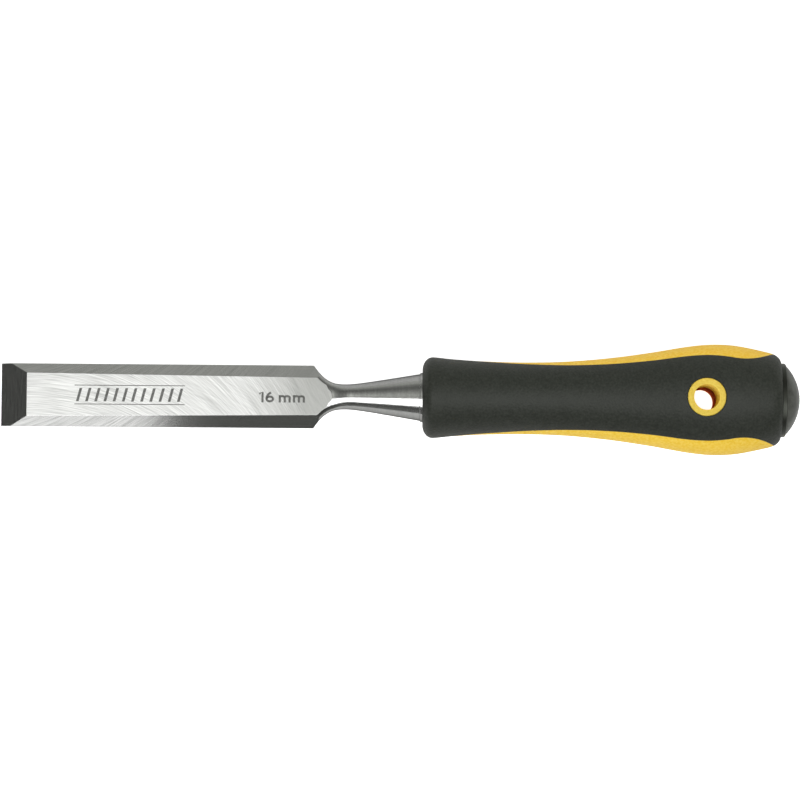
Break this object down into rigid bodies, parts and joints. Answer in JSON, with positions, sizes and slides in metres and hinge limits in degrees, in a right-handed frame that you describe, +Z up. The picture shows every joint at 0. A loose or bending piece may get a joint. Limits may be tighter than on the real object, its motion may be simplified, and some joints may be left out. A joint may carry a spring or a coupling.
{
  "type": "bench chisel",
  "caption": "Bevel-edged bench chisel with a soft-grip handle, a hang hole and a domed steel strike cap.",
  "frame": {"origin": "middle of the footprint, on the bench surface that the tool lies on", "axes": "+X towards the butt of the handle, +Z up, out of the bevelled face of the blade, +Y to the tool's left seen from the butt"},
  "size_m": [0.203, 0.0282, 0.0254],
  "materials": {
    "ground_steel": "ground, satin, with diagonal grinding marks",
    "yellow_plastic": "smooth moulded, half gloss",
    "grey_rubber": "fine moulded texture, matt",
    "dark_steel": "turned, dark satin"
  },
  "bodies": {
    "root": {"blade": "ground_steel", "handle_core": "yellow_plastic", "soft_grip": "grey_rubber", "strike_cap": "dark_steel"}
  },
  "joints": []
}
